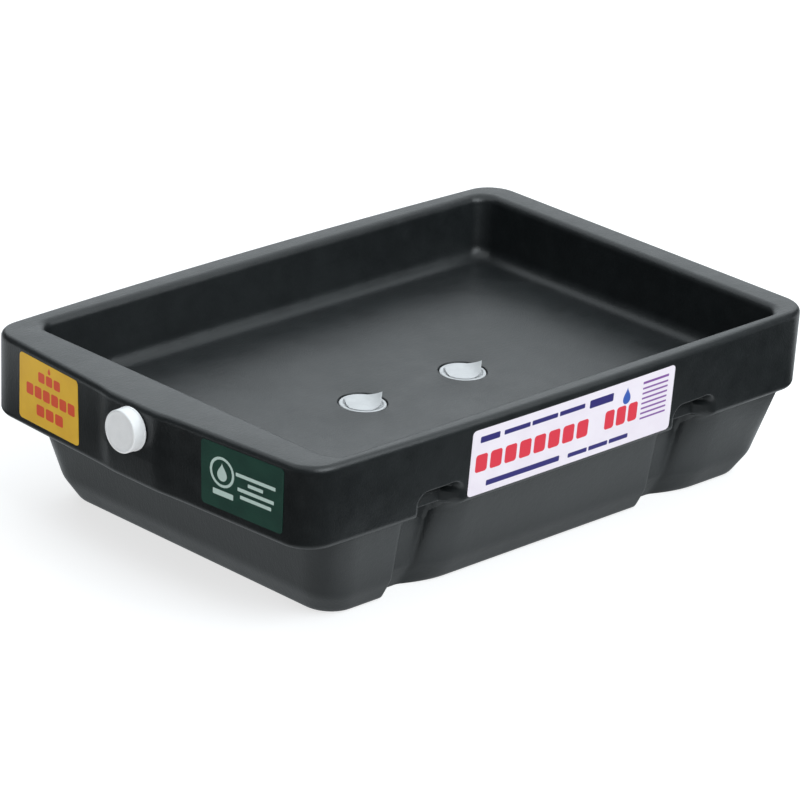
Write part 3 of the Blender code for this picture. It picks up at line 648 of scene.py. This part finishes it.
def make_flap(name, x, y, mat):
    """Lift flap lying in the plug's dish, flexed up to a square-cut end, with its hinge roll."""
    bm = bmesh.new()
    n, rings = 144, 14
    angles = [-math.pi + 2 * math.pi * k / n for k in range(n)]
    for c in [math.atan2(p[1], p[0]) for p in (TAB_NEAR, TAB_FAR)]:
        angles[min(range(n), key=lambda i: abs(angles[i] - c))] = c
    top, bottom = [], []
    for ring in range(1, rings + 1):
        row_t, row_b = [], []
        for a in angles:
            edge = flap_radius(a)
            r = edge * (ring / rings) ** 0.8
            inset = edge - r
            px, py = r * math.cos(a), r * math.sin(a)
            z = FLOOR_Z + flap_lift(px, py)
            crown = 0.1 * (1.0 - min(inset / 1.2, 1.0)) ** 2
            row_t.append(bm.verts.new((px, py, z + FLAP_THICK - crown)))
            row_b.append(bm.verts.new((px, py, z + crown * 0.6)))
        top.append(row_t)
        bottom.append(row_b)
    middle = FLOOR_Z + flap_lift(0, 0)
    ct = bm.verts.new((0, 0, middle + FLAP_THICK))
    cb = bm.verts.new((0, 0, middle))
    for i in range(n):
        j = (i + 1) % n
        bm.faces.new((ct, top[0][i], top[0][j]))
        bm.faces.new((cb, bottom[0][j], bottom[0][i]))
    for a, b in zip(top, top[1:]):
        loop_faces(bm, a, b)
    for a, b in zip(bottom, bottom[1:]):
        loop_faces(bm, a, b, True)
    side = []
    for i in range(n):
        t, b = top[-1][i].co, bottom[-1][i].co
        out = Vector((math.cos(angles[i]), math.sin(angles[i]), 0.0)) * 0.14
        side.append((bm.verts.new(t.lerp(b, 0.22) + out), bm.verts.new(t.lerp(b, 0.78) + out)))
    loop_faces(bm, top[-1], [s[0] for s in side])
    loop_faces(bm, [s[0] for s in side], [s[1] for s in side])
    loop_faces(bm, [s[1] for s in side], bottom[-1])
    # hinge roll along the edge
    turn = Matrix.Rotation(TAB_ANGLE, 4, "Z")
    ends = []
    for w, r in ((-5.0, 0.4), (-4.8, 0.6), (4.8, 0.6), (5.0, 0.4)):
        ends.append([])
        for q in range(16):
            a = q * math.pi / 8
            point = Vector((TAB_PIVOT + r * math.cos(a), w, TAB_Z + r * math.sin(a)))
            ends[-1].append(bm.verts.new(turn @ point))
    for a, b in zip(ends, ends[1:]):
        loop_faces(bm, a, b)
    bm.faces.new(ends[0])
    bm.faces.new(ends[-1][::-1])
    bmesh.ops.recalc_face_normals(bm, faces=bm.faces)
    bmesh.ops.translate(bm, verts=bm.verts, vec=(x, y, 0.0))
    return to_object(name, bm, mat, 50)


def side_face(x, z):
    """Point on the near long side of the band."""
    d = band_draft(z)
    half = HALF_LENGTH - d - BAND_CORNER_R
    return Vector((x, -(HALF_WIDTH - d + side_bow(z) * (1.0 - (x / half) ** 2)), z))


def end_face(y, z):
    """Point on the spout end of the band."""
    d = band_draft(z)
    reach = HALF_WIDTH - d - BAND_CORNER_R
    row = y
    if abs(y) > PAD_SHOULDER_Y:
        t = (abs(y) - PAD_SHOULDER_Y) / (reach - PAD_SHOULDER_Y)
        row = math.copysign(lerp(PAD_SHOULDER_Y, END_SLANT_Y, t), y)
    return Vector((-(HALF_LENGTH - d + end_push(row, z)), y, z))


def make_label(name, face, outward, span, heights, corner, mat):
    """Thin stuck-on sheet with rounded corners that follows the band."""
    bm = bmesh.new()
    (lo, hi), (z0, z1) = span, heights
    bend = [corner * (1.0 - math.cos(math.pi / 2 * k / 6)) for k in range(7)]
    straight = list(np.linspace(lo + corner, hi - corner, 40))[1:-1]
    us = [lo + v for v in bend] + straight + [hi - v for v in reversed(bend)]
    n, m = len(us) - 1, 10
    grid = []
    for lift in (-0.04, 0.2):
        rows = []
        for u in us:
            edge, cut = min(u - lo, hi - u), 0.0
            if edge < corner:
                cut = corner - math.sqrt(max(corner ** 2 - (corner - edge) ** 2, 0.0))
            points = [face(u, lerp(z0 + cut, z1 - cut, k / m)) + outward * lift for k in range(m + 1)]
            rows.append([bm.verts.new(point) for point in points])
        grid.append(rows)
    under, over = grid
    for i in range(n):
        for k in range(m):
            bm.faces.new((over[i][k], over[i + 1][k], over[i + 1][k + 1], over[i][k + 1]))
            bm.faces.new((under[i][k], under[i][k + 1], under[i + 1][k + 1], under[i + 1][k]))
        bm.faces.new((under[i][0], under[i + 1][0], over[i + 1][0], over[i][0]))
        bm.faces.new((under[i + 1][m], under[i][m], over[i][m], over[i + 1][m]))
    for k in range(m):
        bm.faces.new((under[0][k + 1], under[0][k], over[0][k], over[0][k + 1]))
        bm.faces.new((under[n][k], under[n][k + 1], over[n][k + 1], over[n][k]))
    bmesh.ops.recalc_face_normals(bm, faces=bm.faces)
    return to_object(name, bm, mat, 40)


# ------------------------------------------------------------------ materials


class Graph:
    """Node tree of one material, with short calls for its arithmetic."""

    def __init__(self, name):
        self.mat = bpy.data.materials.new(name)
        self.mat.use_nodes = True
        self.nt = self.mat.node_tree
        self.bsdf = self.nt.nodes["Principled BSDF"]
        coords = self.nt.nodes.new("ShaderNodeTexCoord")
        self.place = coords.outputs["Object"]
        split = self.nt.nodes.new("ShaderNodeSeparateXYZ")
        self.nt.links.new(self.place, split.inputs[0])
        self.x, self.y, self.z = (self.do("MULTIPLY", o, 1000.0) for o in split.outputs)

    def do(self, op, a, b=None, clamp_it=False):
        node = self.nt.nodes.new("ShaderNodeMath")
        node.operation = op
        node.use_clamp = clamp_it
        for i, v in enumerate((a, b)):
            if v is None:
                continue
            if isinstance(v, (int, float)):
                node.inputs[i].default_value = v
            else:
                self.nt.links.new(v, node.inputs[i])
        return node.outputs[0]

    def noise(self, scale, detail=2.0, rough=0.5, stretch=None, seed=0.0):
        node = self.nt.nodes.new("ShaderNodeTexNoise")
        node.inputs["Scale"].default_value = scale
        node.inputs["Detail"].default_value = detail
        node.inputs["Roughness"].default_value = rough
        shift = self.nt.nodes.new("ShaderNodeMapping")
        shift.inputs["Location"].default_value = (seed, seed * 0.7, seed * 1.3)
        if stretch:
            shift.inputs["Scale"].default_value = stretch
        self.nt.links.new(self.place, shift.inputs["Vector"])
        self.nt.links.new(shift.outputs[0], node.inputs["Vector"])
        return node.outputs["Fac"]

    def remap(self, value, lo, hi, to_lo=0.0, to_hi=1.0, kind="SMOOTHSTEP"):
        node = self.nt.nodes.new("ShaderNodeMapRange")
        node.interpolation_type = kind
        self.nt.links.new(value, node.inputs["Value"])
        for i, v in enumerate((lo, hi, to_lo, to_hi)):
            node.inputs[1 + i].default_value = v
        return node.outputs["Result"]

    def mix(self, factor, a, b):
        node = self.nt.nodes.new("ShaderNodeMix")
        node.data_type = "RGBA"
        self.nt.links.new(factor, node.inputs["Factor"])
        for socket, v in ((node.inputs[6], a), (node.inputs[7], b)):
            if isinstance(v, tuple):
                socket.default_value = (*v, 1.0)
            else:
                self.nt.links.new(v, socket)
        return node.outputs[2]

    def bump(self, height, strength, distance, normal=None):
        node = self.nt.nodes.new("ShaderNodeBump")
        node.inputs["Strength"].default_value = strength
        node.inputs["Distance"].default_value = distance
        self.nt.links.new(height, node.inputs["Height"])
        if normal is not None:
            self.nt.links.new(normal, node.inputs["Normal"])
        return node.outputs["Normal"]

    def colour(self, socket):
        self.nt.links.new(socket, self.bsdf.inputs["Base Color"])

    def rough(self, socket):
        self.nt.links.new(socket, self.bsdf.inputs["Roughness"])

    def normal(self, socket):
        self.nt.links.new(socket, self.bsdf.inputs["Normal"])

    def length(self, a, b):
        return self.do("SQRT", self.do("ADD", self.do("MULTIPLY", a, a), self.do("MULTIPLY", b, b)))

    def beyond(self, value, middle, reach):
        """How far a value lies outside a span, 0 inside it."""
        off = self.do("ABSOLUTE", self.do("SUBTRACT", value, middle))
        return self.do("MAXIMUM", self.do("SUBTRACT", off, reach), 0.0)

    # flat shapes for print, in millimetres
    def edge(self, distance, soft=0.14):
        return self.do("SUBTRACT", 0.5, self.do("DIVIDE", distance, 2.0 * soft), True)

    def block(self, u, v, cu, cv, hu, hv, r=0.5):
        """Rectangle with rounded corners, from its middle and half sizes."""
        d = self.length(self.beyond(u, cu, hu - r), self.beyond(v, cv, hv - r))
        return self.edge(self.do("SUBTRACT", d, r))

    def row(self, u, v, u0, pitch, count, fill, cv, hv, r=0.5):
        """Row of equal blocks."""
        after = self.do("GREATER_THAN", u, u0)
        inside = self.do("MULTIPLY", after, self.do("LESS_THAN", u, u0 + pitch * count))
        local = self.do("MODULO", self.do("SUBTRACT", u, u0), pitch)
        return self.do("MULTIPLY", inside, self.block(local, v, pitch / 2.0, cv, pitch * fill / 2.0, hv, r))

    def drop(self, u, v, cu, cv, r, tip):
        """Plain drop: round below, drawn to a point above."""
        t = self.do("MULTIPLY", self.do("SUBTRACT", v, cv), 1.0 / (tip - cv), True)
        taper = self.do("COSINE", self.do("MULTIPLY", t, math.pi / 2.0))
        half = self.do("MULTIPLY", self.do("POWER", taper, 1.7), r)
        across = self.do("ABSOLUTE", self.do("SUBTRACT", u, cu))
        upper = self.edge(self.do("SUBTRACT", across, half))
        upper = self.do("MULTIPLY", upper, self.do("GREATER_THAN", v, cv))
        upper = self.do("MULTIPLY", upper, self.do("LESS_THAN", v, tip))
        d = self.length(across, self.do("SUBTRACT", v, cv))
        return self.do("MAXIMUM", upper, self.edge(self.do("SUBTRACT", d, r)))

    def join(self, *masks):
        out = masks[0]
        for m in masks[1:]:
            out = self.do("MAXIMUM", out, m)
        return out


def hdpe():
    """Black blow-moulded plastic: satin, faintly mottled, with the fine grain of reground resin."""
    g = Graph("black_hdpe_look")
    broad = g.noise(11.0, 3.0, 0.55)
    patch = g.noise(60.0, 4.0, 0.6, seed=3.1)
    grain = g.noise(900.0, 2.0, 0.6, seed=1.7)
    drawn = g.noise(170.0, 3.0, 0.6, (1.0, 3.2, 1.0), 5.3)
    tone = g.do("ADD", g.do("MULTIPLY", broad, 0.5), g.do("MULTIPLY", patch, 0.5))
    dark, light = (0.0085, 0.0105, 0.0113), (0.0135, 0.0162, 0.0172)
    g.colour(g.mix(g.remap(tone, 0.36, 0.66), dark, light))
    fine = g.do("MULTIPLY", g.do("SUBTRACT", grain, 0.5), 0.10)
    g.rough(g.do("ADD", g.remap(patch, 0.3, 0.7, 0.335, 0.40, "LINEAR"), fine))
    g.bsdf.inputs["IOR"].default_value = 1.52
    n = g.bump(broad, 0.35, 0.0022)
    n = g.bump(drawn, 0.40, 0.00035, n)
    n = g.bump(grain, 0.55, 0.00022, n)
    g.normal(n)
    return g.mat


def white_plastic(name, light, shade, rough, seed):
    """Moulded white polyethylene: satin, with faint clouding."""
    g = Graph(name)
    cloud = g.noise(140.0, 3.0, 0.55, seed=seed)
    fine = g.noise(1500.0, 2.0, 0.5, seed=seed + 1.0)
    g.colour(g.mix(g.remap(cloud, 0.35, 0.7), light, shade))
    g.rough(g.remap(fine, 0.3, 0.7, rough - 0.05, rough + 0.06, "LINEAR"))
    n = g.bump(cloud, 0.15, 0.0003)
    g.normal(g.bump(fine, 0.16, 0.00003, n))
    return g.mat


def foam():
    """Matt foam of the cap's sealing disc."""
    g = Graph("liner_look")
    cells = g.noise(1700.0, 3.0, 0.7)
    g.colour(g.mix(g.remap(cells, 0.35, 0.65), (0.62, 0.62, 0.59), (0.74, 0.74, 0.72)))
    g.rough(g.remap(cells, 0.3, 0.7, 0.78, 0.92, "LINEAR"))
    g.normal(g.bump(cells, 0.5, 0.00012))
    return g.mat


def paper(name, on_side, base, base2, prints):
    """Coated label stock with plain printed shapes. prints lists (mask builder, ink colour)."""
    g = Graph(name)
    u = g.x if on_side else g.do("MULTIPLY", g.y, -1.0)
    v = g.z
    fibre = g.noise(420.0, 4.0, 0.65)
    cloud = g.noise(45.0, 3.0, 0.5, seed=2.0)
    colour = g.mix(g.remap(cloud, 0.35, 0.7), base, base2)
    ink_all = None
    for build, ink in prints:
        mask = build(g, u, v)
        worn = g.do("MULTIPLY", mask, g.remap(fibre, 0.22, 0.34, 0.9, 1.0))
        colour = g.mix(worn, colour, ink)
        ink_all = mask if ink_all is None else g.do("MAXIMUM", ink_all, mask)
    g.colour(colour)
    rough = g.remap(fibre, 0.3, 0.7, 0.40, 0.50, "LINEAR")
    g.rough(g.do("SUBTRACT", rough, g.do("MULTIPLY", ink_all, 0.06)))
    n = g.bump(cloud, 0.12, 0.0006)
    n = g.bump(fibre, 0.10, 0.00005, n)
    g.normal(g.bump(ink_all, 0.25, 0.00002, n))
    return g.mat


# printed shapes: u runs along the label from left to right and v is the height, both in the row frame
BLUE, RED, PURPLE = (0.028, 0.022, 0.17), (0.70, 0.028, 0.055), (0.20, 0.06, 0.30)
PALE_BLUE, ORANGE_RED, PALE_GREEN = (0.03, 0.10, 0.42), (0.78, 0.075, 0.015), (0.52, 0.66, 0.60)
WHITE_PRINTS = [
    (lambda g, u, v: g.join(
        g.block(u, v, -81.0, 110.4, 9.0, 2.3, 0.9),
        g.row(u, v, -69.0, 26.0, 3, 0.93, 110.4, 1.7, 0.7),
        g.block(u, v, 24.3, 109.8, 11.5, 3.0, 0.9),
        g.block(u, v, -46.5, 77.2, 34.5, 2.0, 0.8),
        g.row(u, v, -4.5, 20.0, 3, 0.92, 76.6, 1.6, 0.7)), BLUE),
    (lambda g, u, v: g.join(
        g.row(u, v, -94.0, 13.6, 8, 0.80, 93.4, 6.4, 2.2),
        g.row(u, v, 28.5, 11.4, 3, 0.80, 93.4, 6.8, 2.2)), RED),
    (lambda g, u, v: g.drop(u, v, 49.5, 104.6, 3.7, 113.6), PALE_BLUE),
    (lambda g, u, v: g.join(
        g.row(v, u, 84.0, 3.7, 7, 0.36, 77.8, 12.6, 0.3),
        g.block(u, v, 77.8, 112.2, 12.8, 0.9, 0.4)), PURPLE),
]
YELLOW_PRINTS = [
    (lambda g, u, v: g.join(
        g.row(u, v, -101.5, 8.6, 3, 0.82, 108.8, 3.6, 1.4),
        g.row(u, v, -114.5, 9.1, 6, 0.84, 97.0, 4.2, 1.5),
        g.row(u, v, -103.5, 10.2, 3, 0.84, 84.4, 4.0, 1.5),
        g.drop(u, v, -88.6, 115.2, 1.5, 119.0)), ORANGE_RED),
]
GREEN_PRINTS = [
    (lambda g, u, v: g.join(
        g.do("SUBTRACT", g.block(u, v, 81.3, 101.5, 10.6, 10.6, 10.5),
             g.block(u, v, 81.3, 101.5, 8.7, 8.7, 8.6), True),
        g.drop(u, v, 81.3, 99.4, 4.2, 108.2),
        g.block(u, v, 82.2, 86.6, 9.0, 2.0, 0.6),
        g.block(u, v, 110.5, 104.2, 17.2, 1.25, 0.5),
        g.block(u, v, 110.5, 99.3, 6.6, 1.25, 0.5),
        g.block(u, v, 110.8, 94.3, 15.8, 1.25, 0.5),
        g.block(u, v, 110.8, 89.3, 13.6, 1.25, 0.5)), PALE_GREEN),
]

# ------------------------------------------------------------------ pieces

pan = make_pan(hdpe())
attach(pan, "pan")
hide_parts("pan_body")

cap = make_cap(white_plastic("white_cap_look", (0.90, 0.90, 0.90), (0.87, 0.87, 0.87), 0.42, 0.0))
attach(cap, "cap")
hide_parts("spout_cap")

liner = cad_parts["cap_liner"]
liner.data.materials.clear()
liner.data.materials.append(foam())

plug_look = white_plastic("white_plug_look", (0.60, 0.61, 0.62), (0.55, 0.56, 0.57), 0.50, 2.0)
tab_look = white_plastic("white_tab_look", (0.63, 0.64, 0.65), (0.58, 0.59, 0.60), 0.50, 4.0)
for place, (px, py) in PLUGS.items():
    plug = make_plug("plug_dish_" + place, px, py, plug_look)
    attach(plug, "plug_" + place)
    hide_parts("drain_plug_" + place)
    flap = make_flap("lift_flap_" + place, px, py, tab_look)
    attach(flap, "tab_" + place)
    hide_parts("pull_tab_" + place)

SIDE, END = Vector((0.0, -1.0, 0.0)), Vector((-1.0, 0.0, 0.0))
# name, node, slot, face, outward, ends along the face, heights, corner radius, two paper colours, prints
LABELS = (
    ("wide_sticker", "label_white", "white_label", side_face, SIDE, (-97.5, 96.5), (70.6, 118.2), 3.2,
     (0.80, 0.74, 0.80), (0.77, 0.70, 0.77), WHITE_PRINTS),
    ("yellow_sticker", "label_yellow", "yellow_label", end_face, END, (56.8, 121.5), (73.0, 120.4), 3.0,
     (0.86, 0.50, 0.012), (0.80, 0.45, 0.010), YELLOW_PRINTS),
    ("green_sticker", "label_green", "green_label", end_face, END, (-134.5, -63.0), (75.0, 120.4), 3.0,
     (0.008, 0.062, 0.040), (0.006, 0.050, 0.034), GREEN_PRINTS),
)
for name, node, slot, face, outward, span, heights, corner, base, base2, prints in LABELS:
    look = paper(name + "_look", face is side_face, base, base2, prints)
    sticker = make_label(name, face, outward, span, heights, corner, look)
    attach(sticker, "pan")
    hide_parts(node)


# ------------------------------------------------------------------ floor, light and camera

FLOOR_HALF, FLOOR_LEVEL = 9.0, -0.0003  # m; just under the part, so that the two faces don't meet
STUDIO_TINT = (0.90, 0.965, 1.0)

floor_mesh = bpy.data.meshes.new("floor")
corners = ((-1, -1), (1, -1), (1, 1), (-1, 1))
floor_mesh.from_pydata([(x * FLOOR_HALF, y * FLOOR_HALF, FLOOR_LEVEL) for x, y in corners], [], [(0, 1, 2, 3)])
floor = bpy.data.objects.new("floor", floor_mesh)
bpy.context.scene.collection.objects.link(floor)
fg = Graph("floor_look")
fg.bsdf.inputs["Base Color"].default_value = (0.46, 0.465, 0.47, 1.0)
fg.bsdf.inputs["Roughness"].default_value = 0.9
fg.bsdf.inputs["Specular IOR Level"].default_value = 0.1
fg.bsdf.inputs["Emission Color"].default_value = (1.0, 1.0, 1.0, 1.0)
fg.bsdf.inputs["Emission Strength"].default_value = 0.72
# painted reflection: glossy rays see a small lit sweep, a painted pool of light that falls off away from the
# pan, halved at its foot for painted contact shade, dimmer off the spout end (painted shade) and brighter far
# behind it; the camera sees the plain floor
away = fg.length(fg.beyond(fg.x, 10.0, 205.0), fg.beyond(fg.y, 0.0, 130.0))
painted_glow = fg.nt.nodes.new("ShaderNodeEmission")
painted_glow.inputs["Color"].default_value = (*STUDIO_TINT, 1.0)
# painted pool of light round the pan, at half strength right at its foot as painted contact shade
painted_light_pool = fg.do("MULTIPLY", fg.remap(away, 52.0, 125.0, 1.0, 0.02), fg.remap(away, 0.0, 50.0, 0.5, 1.0))
# painted shade: the pool is dimmer off the spout end
end_painted_shade = fg.remap(fg.do("MULTIPLY", fg.x, -1.0), 195.0, 225.0, 1.0, 0.66)
# painted light: the floor is brighter far behind the pan
far_painted_light = fg.do("MAXIMUM", fg.remap(fg.do("ADD", fg.x, fg.y), 210.0, 360.0), fg.remap(fg.y, 250.0, 380.0))
strength = fg.do("MAXIMUM", fg.do("MULTIPLY", painted_light_pool, end_painted_shade), far_painted_light)
fg.nt.links.new(strength, painted_glow.inputs["Strength"])
# glossy rays get the painted glow, all other rays the plain floor
path = fg.nt.nodes.new("ShaderNodeLightPath")
both = fg.nt.nodes.new("ShaderNodeMixShader")
fg.nt.links.new(path.outputs["Is Glossy Ray"], both.inputs[0])
fg.nt.links.new(fg.bsdf.outputs[0], both.inputs[1])
fg.nt.links.new(painted_glow.outputs[0], both.inputs[2])
fg.nt.links.new(both.outputs[0], fg.nt.nodes["Material Output"].inputs["Surface"])
floor_mesh.materials.append(fg.mat)


LIGHT_AIM = Vector((0.0, 0.0, 0.06))


def softbox(name, direction, distance, width, height, radiance):
    """Rectangular soft light of a given radiance, facing the object."""
    light = bpy.data.lights.new(name, "AREA")
    light.shape = "RECTANGLE"
    light.size, light.size_y = width, height
    light.energy = radiance * math.pi * width * height
    light.color = STUDIO_TINT
    obj = bpy.data.objects.new(name, light)
    d = Vector(direction).normalized()
    obj.location = LIGHT_AIM + d * distance
    obj.rotation_euler = (-d).to_track_quat("-Z", "Y").to_euler()
    bpy.context.scene.collection.objects.link(obj)


softbox("top", (0.1, 0.1, 1.0), 1.7, 3.2, 3.2, 1.1)
softbox("back", (0.72, 0.70, 0.45), 2.6, 3.0, 1.6, 1.4)
softbox("front_right", (0.15, -1.0, 0.85), 2.2, 2.2, 1.5, 3.6)

world = bpy.data.worlds.new("studio")
bpy.context.scene.world = world
world.use_nodes = True
background = world.node_tree.nodes["Background"]
background.inputs["Color"].default_value = (0.9, 0.95, 1.0, 1.0)
background.inputs["Strength"].default_value = 0.10

# camera: where it looks (m), from how far, and its turn round the object, height and tilt
CAMERA_AIM, CAMERA_DISTANCE, LENS, SENSOR = Vector((-0.0011, 0.0017, 0.0633)), 3.5347, 231.64, 36.0
AZ, EL, ROLL = math.radians(-45.67), math.radians(22.22), math.radians(3.15)
back = Vector((math.sin(AZ) * math.cos(EL), -math.cos(AZ) * math.cos(EL), math.sin(EL)))
right = (-back).cross(Vector((0, 0, 1))).normalized()
up = right.cross(-back)
cam_x = right * math.cos(ROLL) + up * math.sin(ROLL)
cam_y = up * math.cos(ROLL) - right * math.sin(ROLL)
rot = Matrix((cam_x, cam_y, back)).transposed()
camera_data = bpy.data.cameras.new("camera")
camera_data.lens = LENS
camera_data.sensor_width = SENSOR
camera_data.clip_start, camera_data.clip_end = 0.1, 60.0
camera = bpy.data.objects.new("camera", camera_data)
camera.matrix_world = Matrix.Translation(CAMERA_AIM + back * CAMERA_DISTANCE) @ rot.to_4x4()
bpy.context.scene.collection.objects.link(camera)
bpy.context.scene.camera = camera
bpy.context.scene.view_settings.view_transform = "Standard"
